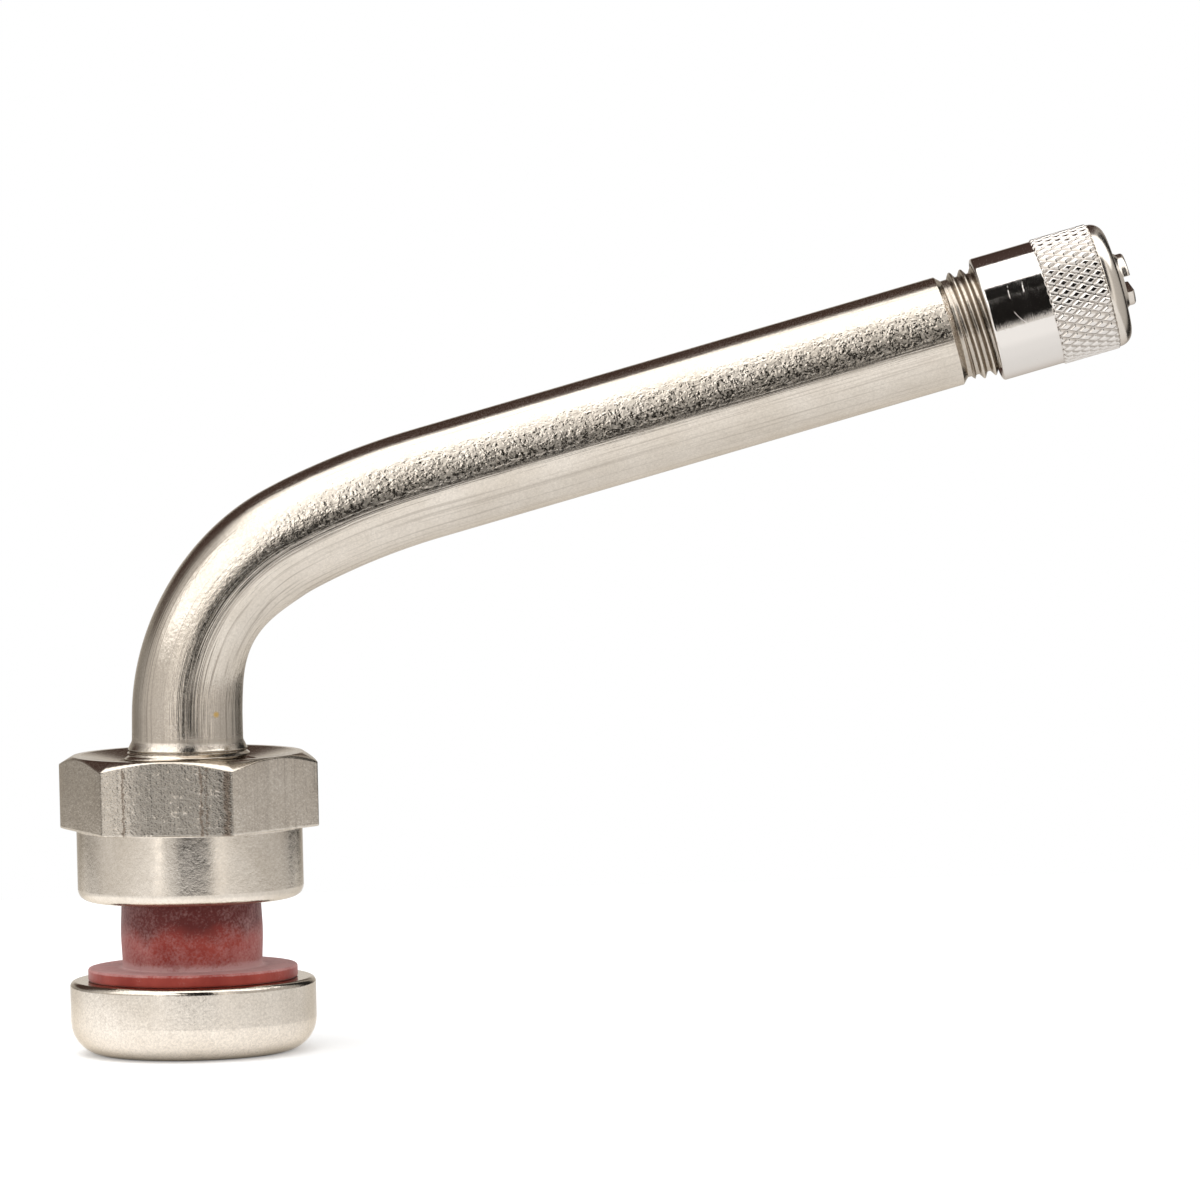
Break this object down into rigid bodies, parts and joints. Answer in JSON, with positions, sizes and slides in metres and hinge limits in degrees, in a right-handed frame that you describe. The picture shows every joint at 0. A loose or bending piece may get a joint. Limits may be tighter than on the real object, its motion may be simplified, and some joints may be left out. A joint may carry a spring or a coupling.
{
  "type": "tyre valve",
  "caption": "Bent clamp-in tyre valve: flanged base with rubber grommet, hexagonal clamp nut, bent metal tube with a spring-loaded core, and a knurled screw cap.",
  "frame": {"origin": "centre of the rim hole on the rim's inner face, where the grommet's flange seals", "axes": "+Z outwards through the rim hole, +X the way the tube bends, +Y across the valve"},
  "size_m": [0.0752, 0.0174, 0.0558],
  "materials": {
    "nickel": "nickel plated, tumbled",
    "bright_nickel": "nickel plated, bright turned",
    "red_silicone": "matt, lightly dusted",
    "black_rubber": "matt",
    "core_brass": "turned",
    "spring_steel": "drawn wire"
  },
  "bodies": {
    "stem": {"valve_stem": "nickel", "grommet": "red_silicone", "core_plug": "core_brass", "core_barrel": "core_brass", "core_barrel_gasket": "red_silicone", "core_spring": "spring_steel"},
    "nut": {"clamp_nut": "nickel"},
    "cap_seal": {"cap_gasket": "black_rubber"},
    "cap": {"valve_cap": "bright_nickel"},
    "core_plunger": {"core_pin": "core_brass", "core_cup": "core_brass", "core_cup_seal": "black_rubber"}
  },
  "joints": [
    {"name": "nut_travel", "type": "slide", "parent": "stem", "child": "nut", "axis": [0, 0, 1], "range_m": [0, 0.005]},
    {"name": "cap_travel", "type": "slide", "parent": "stem", "child": "cap_seal", "axis": [0.9659, 0, 0.2588], "range_m": [0, 0.00794]},
    {"name": "cap_turn", "type": "hinge", "parent": "cap_seal", "child": "cap", "pos_m": [0.06264, 0, 0.04522], "axis": [0.9659, 0, 0.2588], "range_deg": [0, 3600]},
    {"name": "core_press", "type": "slide", "parent": "stem", "child": "core_plunger", "axis": [-0.9659, 0, -0.2588], "range_m": [0, 0.0012], "stiffness_N_per_m": 1500, "springref_m": -0.002, "deforming": ["core_spring"]}
  ],
  "couplings": [
    {"joint": "cap_turn", "follows": "cap_travel", "rad_per_m": 7915.8}
  ]
}
